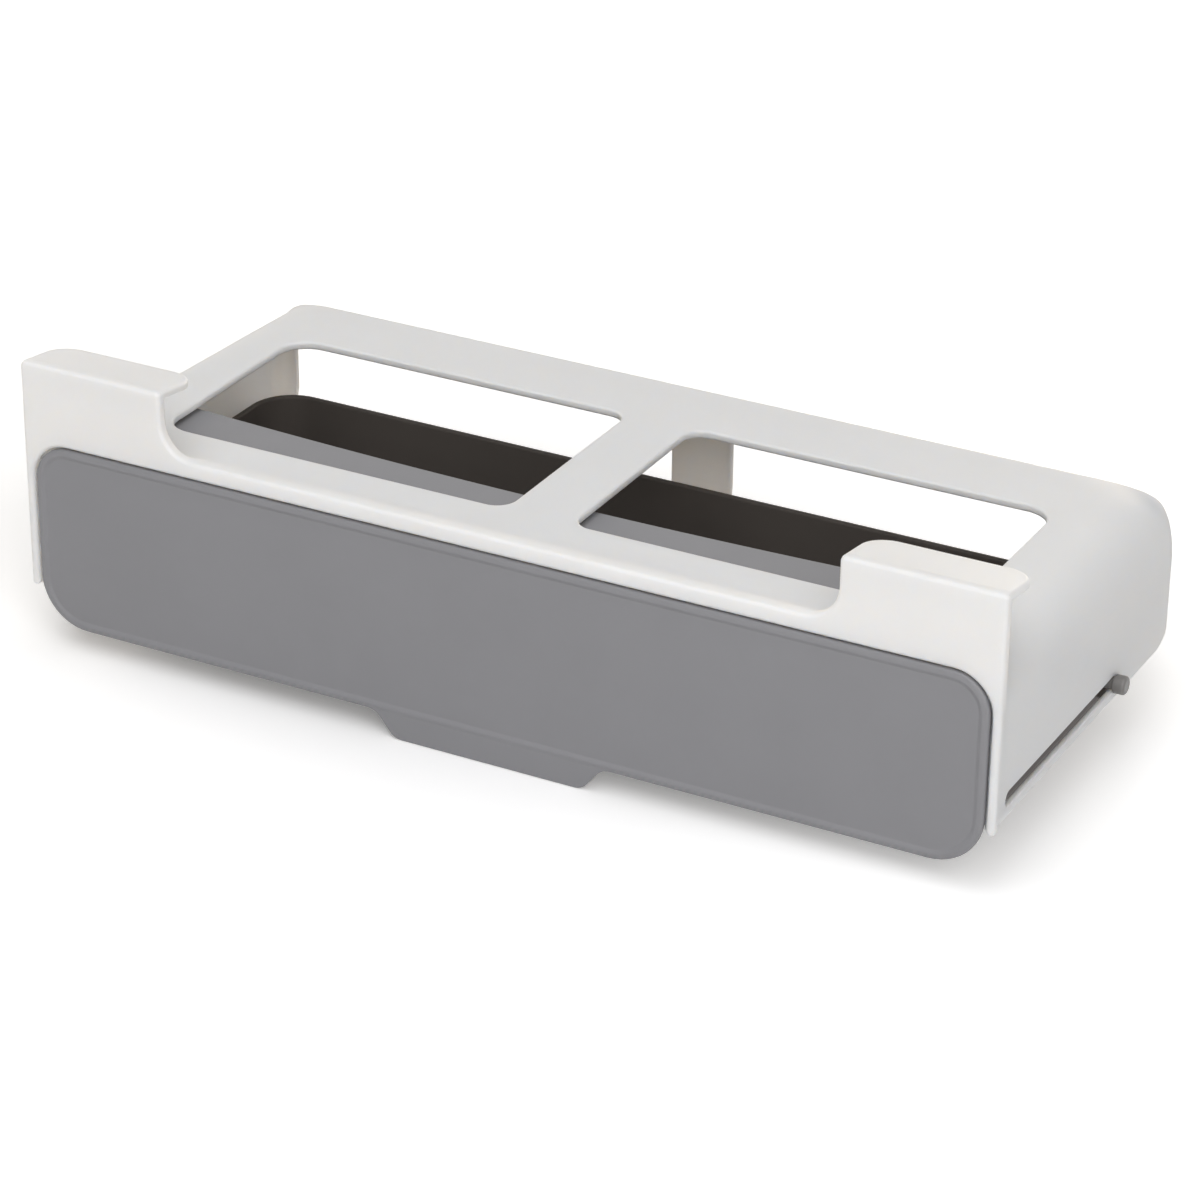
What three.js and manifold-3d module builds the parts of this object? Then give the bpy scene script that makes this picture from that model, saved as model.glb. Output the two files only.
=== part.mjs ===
// Under-shelf spice rack: a white frame hooked on a shelf's front edge, with a grey drop-down drawer in it.
// Millimetres, +X to the right, +Y to the back, +Z up. The origin is on the top plate's upper face,
// halfway between the fascia's front and the rear posts.
import * as THREE from "three";
import { mergeVertices } from "three/addons/utils/BufferGeometryUtils.js";
import Module from "manifold-3d";

const wasm = await Module();
wasm.setup();

// Overall sizes
const width = 300;
const depth = 131;
const wall = 2.5;

// Frame body: top plate, side walls and rear posts
const fasciaOverhang = 1;
const wallDrop = 44.2;
const sideTopRadius = 16;
const rearRollRadius = 5.5;
const rearCornerRadius = 8;
const rearFootRadius = 17;
const windowInnerX = 10.2;
const windowSideBorder = 26.2;
const windowFrontY = 29;
const windowRearBorder = 29.5;
const windowOuterRadius = 9;
const windowInnerRadius = 6;
const postHalfWidth = 9.8;
const rearReturn = 8.6;
const rearBandDrop = 15;
const rearOpeningRadius = 1.5;
const postDrop = 36;

// Fascia and shelf hooks
const lipHeight = 6;
const lipDepth = 5;
const webThickness = 1.6;
const legWidth = 2.5;
const legDrop = 44.8;
const legTipRadius = 1.2;
const hookWidth = 46.5;
const shelfGap = 22.7;
const hookFlangeThickness = 2.3;
const hookFlangeDepth = 20.5;
const hookRootRun = 1.2;
const hookDroop = 2.5;
const hookFlangeRadius = 8;
const hookCornerRadius = 1.5;
const hookRootRadius = 10;

// Drawer front: panel, pull tab and hood
const panelThickness = 2;
const panelGap = 0.6;
const panelRearClearance = 0.8;
const panelDrop = 56;
const panelTopRadius = 11;
const panelBottomRadius = 15;
const panelRim = 3;
const fieldRecess = 0.6;
const tabDrop = 7.5;
const tabTopHalfWidth = 35.5;
const tabBottomHalfWidth = 29.5;
const tabRadius = 5;
const hoodClearance = 1.1;
const hoodThickness = 1.8;
const hoodShoulderRadius = 13;
const hoodDepth = 46;
const hoodBow = 6.9;
const seamDrop = 17.5;
const ribThickness = 1.8;
const ribLength = 34;
const ribSetback = 10;
const ribReach = 5;

// Drawer tray
const traySideGap = 3.7;
const trayRearGap = 7.5;
const trayWall = 2;
const trayFloor = 2;
const trayUnderside = 52;
const trayRimDrop = 28;
const trayFootRadius = 5;
const trayRearRadius = 14;
const sweepSetback = 5.5;
const sweepRun = 32.5;
const sweepRadius = 18;
const bossRadius = 5;

// Pivot pins and their slots
const pinRadius = 1.9;
const pinSetback = 36.5;
const knobRadius = 2.7;
const knobThickness = 3.6;
const knobEndRadius = 0.9;
const pinHeadRadius = 4.5;
const pinHeadThickness = 1.5;
const slotFrontY = 9.5;
const railHeight = 3.2;

// Fits between the pieces
const slotClearance = 0.3;
const slotEndClearance = 0.4;
const boreClearance = 0.1;
const knobGap = 0.3;
const seatGap = 0.3;
const bossGap = 0.3;

// How finely round shapes are cut
const arcSegments = 8;
const roundSegments = 48;
const past = 5;

// Places that follow from the sizes above
const halfWidth = width / 2;
const bodyHalf = halfWidth - fasciaOverhang;
const bodyInner = bodyHalf - wall;
const rearInnerY = depth - wall;
const windowOuterX = bodyHalf - windowSideBorder;
const windowRearY = depth - windowRearBorder;
const rebate = panelThickness + panelRearClearance;
const fasciaDepth = rebate + webThickness;
const cutOutHalf = halfWidth - legWidth;
const cutOutTop = lipHeight - lipDepth;
const hookTop = shelfGap + hookFlangeThickness;
const hookInner = halfWidth - hookWidth;
const panelHalf = cutOutHalf - panelGap;
const panelTop = cutOutTop - panelGap;
const hoodTop = -wall - hoodClearance;
const trayHalf = bodyInner - traySideGap;
const trayRearY = rearInnerY - trayRearGap;
const trayFrontY = panelThickness + seatGap;
const sweepStartY = hoodDepth + sweepSetback;
const sweepEndY = sweepStartY + sweepRun;
const pinRestY = trayRearY - pinSetback;
const slotRadius = pinRadius + slotClearance;
const pinZ = -wallDrop + railHeight + slotRadius;
const slotRearY = pinRestY + pinRadius + slotEndClearance;

// Points of a closed outline whose corners, given as [u, v, radius], are rounded
function rounded(corners) {
  const points = [];
  const count = corners.length;
  for (let i = 0; i < count; i += 1) {
    const [u, v, radius = 0] = corners[i];
    const corner = new THREE.Vector2(u, v);
    const last = corners[(i + count - 1) % count];
    const next = corners[(i + 1) % count];
    const toLast = new THREE.Vector2(last[0], last[1]).sub(corner).normalize();
    const toNext = new THREE.Vector2(next[0], next[1]).sub(corner).normalize();
    if (radius <= 0) {
      points.push(corner);
      continue;
    }
    const half = Math.acos(THREE.MathUtils.clamp(toLast.dot(toNext), -1, 1)) / 2;
    const reach = radius / Math.tan(half);
    const middle = toLast.clone().add(toNext).normalize();
    const centre = corner.clone().addScaledVector(middle, radius / Math.sin(half));
    const from = corner.clone().addScaledVector(toLast, reach).sub(centre);
    const turn = Math.sign(toLast.cross(toNext)) * (2 * half - Math.PI);
    for (let k = 0; k <= arcSegments; k += 1) {
      const arm = from.clone().rotateAround(new THREE.Vector2(0, 0), (turn * k) / arcSegments);
      points.push(centre.clone().add(arm));
    }
  }
  return points;
}

// Directions of an outline's two axes and of its extrusion, for each plane it is drawn in
const planes = {
  plan: [new THREE.Vector3(1, 0, 0), new THREE.Vector3(0, 1, 0), new THREE.Vector3(0, 0, 1)],
  front: [new THREE.Vector3(1, 0, 0), new THREE.Vector3(0, 0, 1), new THREE.Vector3(0, -1, 0)],
  side: [new THREE.Vector3(0, 1, 0), new THREE.Vector3(0, 0, 1), new THREE.Vector3(1, 0, 0)],
};

// A closed solid from any closed geometry
function solid(geometry) {
  const bare = geometry.clone();
  bare.deleteAttribute("normal");
  bare.deleteAttribute("uv");
  const merged = mergeVertices(bare, 1e-4);
  const index = merged.index.array;
  const triVerts = [];
  for (let i = 0; i < index.length; i += 3) {
    const [a, b, c] = [index[i], index[i + 1], index[i + 2]];
    if (a !== b && b !== c && c !== a) {
      triVerts.push(a, b, c);
    }
  }
  const vertProperties = Float32Array.from(merged.attributes.position.array);
  return new wasm.Manifold(new wasm.Mesh({ numProp: 3, vertProperties, triVerts: Uint32Array.from(triVerts) }));
}

// A slab with the outline's shape, between two positions along its plane's normal axis
function slab(plane, points, low, high) {
  const shape = new THREE.ExtrudeGeometry(new THREE.Shape(points), { depth: high - low, bevelEnabled: false });
  shape.applyMatrix4(new THREE.Matrix4().makeBasis(...planes[plane]));
  const start = plane === "front" ? -high : low;
  shape.translate(...planes[plane][2].clone().multiplyScalar(start).toArray());
  return solid(shape);
}

// A cylinder along X
function rod(radius, fromX, toX, y, z) {
  const round = new THREE.CylinderGeometry(radius, radius, toX - fromX, roundSegments);
  round.rotateZ(Math.PI / 2);
  round.translate((fromX + toX) / 2, y, z);
  return solid(round);
}

// A rectangular block
function block(low, high) {
  const size = high.map((value, i) => value - low[i]);
  const box = new THREE.BoxGeometry(...size);
  box.translate(...low.map((value, i) => value + size[i] / 2));
  return solid(box);
}

// A symmetric outline with the given half width, rounded at its low and high corners
function bar(half, low, lowRadius, high, highRadius) {
  return rounded([
    [-half, low, lowRadius],
    [half, low, lowRadius],
    [half, high, highRadius],
    [-half, high, highRadius],
  ]);
}

// Mesh of a finished solid
function mesh(name, made, colour) {
  const data = made.getMesh();
  const geometry = new THREE.BufferGeometry();
  geometry.setAttribute("position", new THREE.BufferAttribute(Float32Array.from(data.vertProperties), 3));
  geometry.setIndex(new THREE.BufferAttribute(Uint32Array.from(data.triVerts), 1));
  geometry.computeVertexNormals();
  const piece = new THREE.Mesh(geometry, new THREE.MeshStandardMaterial({ color: colour, roughness: 0.55 }));
  piece.name = name;
  return piece;
}

// A rounded box, drawn in from the body's outside by an inset, open at the front and the bottom
function bodySolid(inset, frontY, bottom) {
  const half = bodyHalf - inset;
  const rear = depth - inset;
  const front = slab("front", bar(half, bottom, 0, -inset, sideTopRadius - inset), frontY, rear);
  const sideOutline = rounded([
    [frontY, bottom],
    [rear, bottom, inset > 0 ? 0 : rearFootRadius],
    [rear, -inset, rearRollRadius - inset],
    [frontY, -inset],
  ]);
  const side = slab("side", sideOutline, -half, half);
  const planOutline = bar(half, frontY, 0, rear, rearCornerRadius - inset);
  const plan = slab("plan", planOutline, bottom, -inset);
  return front.intersect(side).intersect(plan);
}

// One layer of the fascia round the drawer's cut-out, with the upper corners of its right half
function fasciaLayer(outerHalf, upperCorners, openHalf, openTop, openRadius, fromY, toY) {
  const tipRadius = (outerHalf - openHalf) * (legTipRadius / legWidth);
  const half = [
    [openHalf, openTop, openRadius],
    [openHalf, -legDrop, tipRadius],
    [outerHalf, -legDrop, tipRadius],
    ...upperCorners,
  ];
  const otherHalf = half.map(([x, z, radius]) => [-x, z, radius]).reverse();
  return slab("front", rounded([...half, ...otherHalf]), fromY, toY);
}

// The flange of one hook, above the shelf; it droops to the rear so that it grips the board
function hookFlange(side) {
  const outline = rounded([
    [side * hookInner, 0],
    [side * halfWidth, 0],
    [side * halfWidth, hookFlangeDepth, hookFlangeRadius],
    [side * hookInner, hookFlangeDepth, hookFlangeRadius],
  ]);
  const droopStart = rebate + hookRootRun;
  const droopingSide = [
    new THREE.Vector2(0, shelfGap),
    new THREE.Vector2(droopStart, shelfGap),
    new THREE.Vector2(hookFlangeDepth, shelfGap - hookDroop),
    new THREE.Vector2(hookFlangeDepth, hookTop - hookDroop),
    new THREE.Vector2(droopStart, hookTop),
    new THREE.Vector2(0, hookTop),
  ];
  const ends = [side * hookInner, side * halfWidth].sort((a, b) => a - b);
  return slab("plan", outline, shelfGap - hookDroop, hookTop).intersect(slab("side", droopingSide, ...ends));
}

// One of the two windows in the top plate
function windowCut(side) {
  const outline = rounded([
    [side * windowInnerX, windowFrontY, windowInnerRadius],
    [side * windowOuterX, windowFrontY, windowOuterRadius],
    [side * windowOuterX, windowRearY, windowOuterRadius],
    [side * windowInnerX, windowRearY, windowInnerRadius],
  ]);
  return slab("plan", outline, -wall - past, past);
}

// One of the two rear openings, between the centre post and a corner
function rearCut(side) {
  const outline = rounded([
    [side * postHalfWidth, -wallDrop - past],
    [side * (bodyHalf - rearReturn), -wallDrop - past],
    [side * (bodyHalf - rearReturn), -rearBandDrop, rearOpeningRadius],
    [side * postHalfWidth, -rearBandDrop, rearOpeningRadius],
  ]);
  return slab("front", outline, rearInnerY - 1, depth + 1);
}

// Frame body
const slotOutline = rounded([
  [slotFrontY, pinZ - slotRadius, slotRadius * 0.999],
  [slotRearY, pinZ - slotRadius, slotRadius * 0.999],
  [slotRearY, pinZ + slotRadius, slotRadius * 0.999],
  [slotFrontY, pinZ + slotRadius, slotRadius * 0.999],
]);
const postFootCut = block(
  [-postHalfWidth - past, rearInnerY - 1, -wallDrop - past],
  [postHalfWidth + past, depth + 1, -postDrop],
);
const bodyFrontY = fasciaDepth + seatGap;
const frameBody = bodySolid(0, bodyFrontY, -wallDrop)
  .subtract(bodySolid(wall, bodyFrontY - past, -wallDrop - past))
  .subtract(windowCut(-1))
  .subtract(windowCut(1))
  .subtract(rearCut(-1))
  .subtract(rearCut(1))
  .subtract(postFootCut)
  .subtract(slab("side", slotOutline, -halfWidth - past, halfWidth + past));

// Fascia with its hooks; behind the drawer's panel it is backed by a web up to the lip's height
const hookCorners = [
  [halfWidth, hookTop, hookCornerRadius],
  [hookInner, hookTop, hookCornerRadius],
  [hookInner, lipHeight, hookRootRadius],
];
const lipCorners = [[bodyHalf, lipHeight, sideTopRadius + lipHeight]];
const openingRadius = panelTopRadius + panelGap;
const fascia = fasciaLayer(halfWidth, hookCorners, cutOutHalf, cutOutTop, openingRadius, 0, rebate)
  .add(fasciaLayer(bodyHalf, lipCorners, bodyInner, -wall, sideTopRadius - wall, rebate, fasciaDepth))
  .add(hookFlange(-1))
  .add(hookFlange(1));

// Drawer shell: a tray whose front part is closed over by the hood, open on top behind it
function drawerForm(inset, insetLow, insetHigh, frontY) {
  const half = trayHalf - inset;
  const rear = trayRearY - inset;
  const low = -trayUnderside + insetLow;
  const high = hoodTop - insetHigh;
  const shoulder = hoodShoulderRadius - inset;
  const front = slab("front", bar(half, low, trayFootRadius - inset, high, shoulder), frontY, rear);
  const side = slab("side", bar((rear - frontY) / 2, low, trayFootRadius - inset, high, 0), -half, half);
  const plan = slab("plan", bar(half, frontY, 0, rear, trayRearRadius - inset), low, high);
  return front.intersect(side.translate([0, (rear + frontY) / 2, 0])).intersect(plan);
}

function drawerShell(frontY) {
  const keptSide = rounded([
    [frontY - past, -trayUnderside - past],
    [trayRearY + past, -trayUnderside - past],
    [trayRearY + past, -trayRimDrop],
    [sweepEndY, -trayRimDrop, sweepRadius],
    [sweepStartY, hoodTop, sweepRadius],
    [frontY - past, hoodTop],
  ]);
  return drawerForm(0, 0, 0, frontY)
    .subtract(drawerForm(trayWall, trayFloor, hoodThickness, trayFrontY + trayWall))
    .intersect(slab("side", keptSide, -trayHalf - past, trayHalf + past));
}

// Everything behind the hood's bowed rear edge
function behindHood() {
  const points = [];
  const steps = 2 * arcSegments;
  for (let k = 0; k <= steps; k += 1) {
    const share = (2 * k) / steps - 1;
    points.push(new THREE.Vector2(share * (trayHalf + past), hoodDepth + hoodBow * share * share));
  }
  points.push(new THREE.Vector2(trayHalf + past, trayRearY));
  points.push(new THREE.Vector2(-trayHalf - past, trayRearY));
  return slab("plan", points, hoodTop - hoodThickness, hoodTop + past);
}

// Drawer tray
const trayTop = -seamDrop - seatGap;
const trayBlock = block([-width, -depth, -trayUnderside - past], [width, depth * 2, trayTop]);
let drawerTray = drawerShell(trayFrontY).intersect(trayBlock);
for (const side of [-1, 1]) {
  const bossEnds = [side * (trayHalf - trayWall / 2), side * (bodyInner - bossGap)].sort((a, b) => a - b);
  const boreEnds = [side * (trayHalf - trayWall - 1), side * (bodyInner + 1)].sort((a, b) => a - b);
  drawerTray = drawerTray
    .add(rod(bossRadius, ...bossEnds, pinRestY, pinZ))
    .subtract(rod(pinRadius + boreClearance, ...boreEnds, pinRestY, pinZ));
}

// Drawer front
const panelOutline = rounded([
  [panelHalf, panelTop, panelTopRadius],
  [-panelHalf, panelTop, panelTopRadius],
  [-panelHalf, -panelDrop, panelBottomRadius],
  [-tabTopHalfWidth, -panelDrop, tabRadius],
  [-tabBottomHalfWidth, -panelDrop - tabDrop, tabRadius],
  [tabBottomHalfWidth, -panelDrop - tabDrop, tabRadius],
  [tabTopHalfWidth, -panelDrop, tabRadius],
  [panelHalf, -panelDrop, panelBottomRadius],
]);
const rimOutline = bar(panelHalf, -panelDrop, panelBottomRadius, panelTop, panelTopRadius);
const fieldOutline = bar(
  panelHalf - panelRim,
  -panelDrop + panelRim,
  panelBottomRadius - panelRim,
  panelTop - panelRim,
  panelTopRadius - panelRim,
);
const hoodBlock = block([-width, -depth, -seamDrop], [width, depth * 2, past]);
let drawerFront = drawerShell(panelThickness / 2)
  .intersect(hoodBlock)
  .subtract(behindHood())
  .add(slab("front", panelOutline, fieldRecess, panelThickness))
  .add(slab("front", rimOutline, 0, panelThickness))
  .subtract(slab("front", fieldOutline, -past, fieldRecess));
for (const side of [-1, 1]) {
  const outer = trayHalf - trayWall - seatGap;
  const ends = [side * (outer - ribThickness), side * outer].sort((a, b) => a - b);
  const from = trayFrontY + trayWall + ribSetback;
  drawerFront = drawerFront.add(
    block([ends[0], from, -seamDrop - ribReach], [ends[1], from + ribLength, -seamDrop + ribReach + 1]),
  );
}

// Pivot pins
function pivotPin(side) {
  const inner = trayHalf - trayWall - seatGap;
  const knobInner = bodyHalf + knobGap;
  const end = knobInner + knobThickness;
  const profile = [
    new THREE.Vector2(0, inner - pinHeadThickness),
    new THREE.Vector2(pinHeadRadius, inner - pinHeadThickness),
    new THREE.Vector2(pinHeadRadius, inner),
    new THREE.Vector2(pinRadius, inner),
    new THREE.Vector2(pinRadius, knobInner),
    new THREE.Vector2(knobRadius, knobInner),
  ];
  for (let k = 0; k <= arcSegments; k += 1) {
    const angle = ((Math.PI / 2) * k) / arcSegments;
    const across = knobRadius - knobEndRadius + knobEndRadius * Math.cos(angle);
    profile.push(new THREE.Vector2(across, end - knobEndRadius + knobEndRadius * Math.sin(angle)));
  }
  profile.push(new THREE.Vector2(0, end));
  const turned = new THREE.LatheGeometry(profile, roundSegments);
  turned.rotateZ((-side * Math.PI) / 2);
  turned.translate(0, pinRestY, pinZ);
  return solid(turned);
}

// Assembly
const white = 0xe2e2e0;
const grey = 0x85858a;
const darkGrey = 0x5c5a58;
const rack = new THREE.Group();
rack.name = "spice_rack";
const pieces = new THREE.Group();
pieces.position.set(0, -depth / 2, 0);
pieces.add(mesh("frame_body", frameBody, white));
pieces.add(mesh("fascia", fascia, white));
pieces.add(mesh("drawer_tray", drawerTray, darkGrey));
pieces.add(mesh("drawer_front", drawerFront, grey));
pieces.add(mesh("pivot_pin_left", pivotPin(-1), grey));
pieces.add(mesh("pivot_pin_right", pivotPin(1), grey));
rack.add(pieces);

export default rack;
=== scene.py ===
# %% [markdown]
# Under-shelf spice rack. A white moulded frame hooks over the front edge of a shelf, and a grey drawer
# slides out of it on two pins and drops down. This lesson builds the visible surfaces around the packed
# model, piece by piece, in the same frame: metres, +X to the right, +Y to the back, +Z up, with the origin
# on top of the frame's top plate. The sizes below are in millimetres, because that is how a moulding
# drawing is read.

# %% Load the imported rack
import math

import bmesh
import bpy
from mathutils import Matrix, Vector


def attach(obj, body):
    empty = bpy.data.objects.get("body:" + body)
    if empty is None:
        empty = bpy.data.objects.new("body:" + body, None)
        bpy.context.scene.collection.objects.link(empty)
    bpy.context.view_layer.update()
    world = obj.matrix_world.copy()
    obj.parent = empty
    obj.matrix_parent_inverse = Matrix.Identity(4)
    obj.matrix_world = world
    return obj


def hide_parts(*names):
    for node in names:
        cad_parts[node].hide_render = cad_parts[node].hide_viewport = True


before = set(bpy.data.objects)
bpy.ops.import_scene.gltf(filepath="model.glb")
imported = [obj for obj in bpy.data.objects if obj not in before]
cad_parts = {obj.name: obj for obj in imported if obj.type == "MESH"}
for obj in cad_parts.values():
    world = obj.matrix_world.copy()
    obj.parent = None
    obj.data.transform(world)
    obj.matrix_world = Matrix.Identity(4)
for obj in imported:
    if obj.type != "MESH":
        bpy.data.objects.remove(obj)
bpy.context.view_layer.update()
MM = 0.001

# %% [markdown]
# The camera. The rack is seen from in front and to the right, a little above, through a long lens, so its
# parallel edges hardly run together. The place and the turn come from matching the corners of the frame to
# where they lie in the picture, so they are written as numbers instead of being aimed by hand.

# %% Camera at the picture's viewpoint
CAMERA_PLACE = (0.486569, -0.921737, 0.483934)
CAMERA_RIGHT = (0.8819653, 0.4712038, 0.0102074)
CAMERA_DOWN = (0.2202770, -0.3929588, -0.8927830)
CAMERA_AHEAD = (-0.4166716, 0.7896521, -0.4503714)
SENSOR_WIDTH = 36.0
LENS_LENGTH = 123.01
SEEN_FROM, SEEN_TO = 0.05, 50.0

lens_data = bpy.data.cameras.new("picture_camera")
lens_data.sensor_fit = "HORIZONTAL"
lens_data.sensor_width = SENSOR_WIDTH
lens_data.lens = LENS_LENGTH
lens_data.clip_start = SEEN_FROM
lens_data.clip_end = SEEN_TO
camera = bpy.data.objects.new("picture_camera", lens_data)
turn = Matrix((CAMERA_RIGHT, -Vector(CAMERA_DOWN), -Vector(CAMERA_AHEAD))).transposed()
camera.matrix_world = Matrix.Translation(CAMERA_PLACE) @ turn.to_4x4()
bpy.context.scene.collection.objects.link(camera)
bpy.context.scene.camera = camera
bpy.context.scene.view_settings.view_transform = "Standard"
print("camera", [round(v, 3) for v in camera.location], "lens", LENS_LENGTH)

# %% [markdown]
# The light. A product like this is shown on a white sweep under large soft boxes. One broad lamp in front
# and to the right lights the front and the right wall, and two cooler ones above light the top. Two warm
# ones stand low, to the left and behind: they shine through the thin walls and posts, whose inner sides
# therefore look creamy. The world adds a little even light. Camera, glossy and transmission rays see the
# world as plain white.

# %% Even light and white backdrop
PURE_WHITE = (1.0, 1.0, 1.0, 1.0)
WORLD_LIGHT = 0.13
BACKDROP_LIGHT = 1.0


def white_for_lens(tree):
    """A socket that is 1 for rays that see the backdrop directly, in a reflection or through glass."""
    path = tree.nodes.new("ShaderNodeLightPath")
    seen = path.outputs["Is Camera Ray"]
    for ray in ("Is Glossy Ray", "Is Transmission Ray"):
        either = tree.nodes.new("ShaderNodeMath")
        either.operation = "MAXIMUM"
        tree.links.new(seen, either.inputs[0])
        tree.links.new(path.outputs[ray], either.inputs[1])
        seen = either.outputs["Value"]
    return seen


def background(tree, strength):
    """The output of a white background of the given strength."""
    made = tree.nodes.new("ShaderNodeBackground")
    made.inputs["Color"].default_value = PURE_WHITE
    made.inputs["Strength"].default_value = strength
    return made.outputs["Background"]


world = bpy.data.worlds.new("white_studio")
bpy.context.scene.world = world
world.use_nodes = True
air = world.node_tree
air.nodes.clear()
either_world = air.nodes.new("ShaderNodeMixShader")
world_out = air.nodes.new("ShaderNodeOutputWorld")
air.links.new(white_for_lens(air), either_world.inputs["Fac"])
air.links.new(background(air, WORLD_LIGHT), either_world.inputs[1])
air.links.new(background(air, BACKDROP_LIGHT), either_world.inputs[2])
air.links.new(either_world.outputs["Shader"], world_out.inputs["Surface"])

# %% Soft boxes
COOL = (0.975, 0.985, 1.0)
SOFT = (1.0, 0.98, 0.97)
WARM = (1.0, 0.86, 0.68)
LAMPS = [
    ("front_right_soft_box", (0.90, -1.20, 0.90), 1.3, 14.6, SOFT),
    ("high_front_soft_box", (0.00, -0.80, 1.50), 1.4, 9.4, COOL),
    ("top_soft_box", (-0.25, 0.10, 1.70), 1.5, 5.2, COOL),
    ("left_fill", (-1.45, 0.30, 0.40), 1.0, 5.2, WARM),
    ("rear_low_light", (-0.08, 1.30, 0.06), 0.5, 5.8, WARM),
]
for lamp_name, place, size, watts, colour in LAMPS:
    lamp_data = bpy.data.lights.new(lamp_name, "AREA")
    lamp_data.shape = "DISK"
    lamp_data.size = size
    lamp_data.energy = watts
    lamp_data.color = colour
    lamp = bpy.data.objects.new(lamp_name, lamp_data)
    lamp.location = place
    lamp.rotation_euler = (-Vector(place)).to_track_quat("-Z", "Y").to_euler()
    bpy.context.scene.collection.objects.link(lamp)
print("lamps", [lamp_name for lamp_name, *_ in LAMPS])

# %% [markdown]
# Outlines. Nearly every edge of a moulding is drawn as a corner with a radius, so one helper turns a list
# of corners into the points of a closed outline, and another draws that outline in by a distance. From
# those two, rings can be set one behind the other and skinned with faces, which keeps each rounded edge as
# clean rows of quads. A Bevel modifier could round the same edges, but it has to guess where the outlines
# are narrow.

# %% Outline helpers
CORNER_STEPS = 12


def outline(corners):
    """Points of a closed outline, counter-clockwise, from corners given as (u, v, radius)."""
    points = []
    for i, (u, v, radius) in enumerate(corners):
        corner = Vector((u, v))
        back = (Vector(corners[i - 1][:2]) - corner).normalized()
        ahead = (Vector(corners[(i + 1) % len(corners)][:2]) - corner).normalized()
        if radius <= 0:
            points.append(corner)
            continue
        half = back.angle(ahead) / 2
        centre = corner + (back + ahead).normalized() * (radius / math.sin(half))
        arm = corner + back * (radius / math.tan(half)) - centre
        sweep = math.copysign(math.pi - 2 * half, ahead.cross(back))
        for k in range(CORNER_STEPS + 1):
            points.append(centre + Matrix.Rotation(sweep * k / CORNER_STEPS, 2) @ arm)
    area = sum(points[i - 1].cross(points[i]) for i in range(len(points)))
    return points if area > 0 else points[::-1]


def mirrored(half):
    """An outline from the corners of its right half, which are repeated on the left."""
    return outline(half + [(-u, v, radius) for u, v, radius in reversed(half)])


def rectangle(u_low, u_high, v_low, v_high, low_radius=0.0, high_radius=0.0):
    return outline([
        (u_low, v_low, low_radius),
        (u_high, v_low, low_radius),
        (u_high, v_high, high_radius),
        (u_low, v_high, high_radius),
    ])


def drawn_in(points, distance):
    """The same outline, drawn in by a distance at every point."""
    moved = []
    for i, point in enumerate(points):
        a = (point - points[i - 1]).normalized()
        b = (points[(i + 1) % len(points)] - point).normalized()
        left = Vector((-a.y - b.y, a.x + b.x))
        moved.append(point + left * (distance / (1 + a.dot(b))))
    return moved


def finer(points, spacing):
    """The same outline with extra points, so that no step is longer than the spacing."""
    closer = []
    for i, point in enumerate(points):
        ahead = points[(i + 1) % len(points)]
        count = max(1, math.ceil((ahead - point).length / spacing))
        closer += [point.lerp(ahead, k / count) for k in range(count)]
    return closer


def between(value, pairs):
    """The second number at a value of the first, along pairs sorted by the first."""
    for (low, at_low), (high, at_high) in zip(pairs, pairs[1:]):
        if low <= value <= high and high > low:
            return at_low + (at_high - at_low) * (value - low) / (high - low)
    return pairs[0][1] if value < pairs[0][0] else pairs[-1][1]


def eased(share):
    """A share from 0 to 1 that starts and ends gently."""
    return share * share * (3 - 2 * share)


print("a square with rounded corners has", len(rectangle(0, 1, 0, 1, 0.2, 0.2)), "points")

# %% Ring helpers
HALF_DEPTH = 65.5
EDGE_STEPS = 5
PAST = 6.0
POINT_WELD = 0.0005


def in_plan(u, v, level):
    return Vector((u, v - HALF_DEPTH, level)) * MM


def in_front_view(u, v, level):
    return Vector((u, level - HALF_DEPTH, v)) * MM


def in_side_view(u, v, level):
    return Vector((level, u - HALF_DEPTH, v)) * MM


def ring(points, place, level):
    """An outline's points, set in space at a level."""
    return [place(p.x, p.y, level) for p in points]


def quarter(steps=EDGE_STEPS):
    """Steps over a quarter circle of radius 1, as (way gone along one leg, way left on the other)."""
    angles = [math.pi / 2 * k / steps for k in range(steps + 1)]
    return [(1 - math.cos(angle), 1 - math.sin(angle)) for angle in angles]


def rounded_edge(points, place, level, radius, inward):
    """Rings from a flat face, over its rounded edge, to the side; inward is +1 or -1 along the levels."""
    rings = []
    for gone, left in quarter():
        rings.append(ring(drawn_in(points, radius * left), place, level + inward * radius * gone))
    return rings


def rounded_rim(thickness, radius):
    """Steps over the rim of a wall, from its outer to its inner face, as (depth into the wall, drop)."""
    outer = [(radius * gone, radius * left) for gone, left in quarter()]
    return outer + [(thickness - depth, drop) for depth, drop in reversed(outer)]


def skin(rings, capped=True):
    """A mesh with faces between neighbouring rings of points; its two ends are closed when capped."""
    made = bmesh.new()
    rows = [[made.verts.new(point) for point in row] for row in rings]
    count = len(rows[0])
    for near, far in zip(rows, rows[1:]):
        for i in range(count):
            j = (i + 1) % count
            made.faces.new((near[i], near[j], far[j], far[i]))
    if capped:
        made.faces.new(rows[0])
        made.faces.new(rows[-1])
    bmesh.ops.remove_doubles(made, verts=made.verts, dist=POINT_WELD * MM)
    bmesh.ops.recalc_face_normals(made, faces=made.faces)
    data = bpy.data.meshes.new("skin")
    made.to_mesh(data)
    made.free()
    return data


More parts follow.
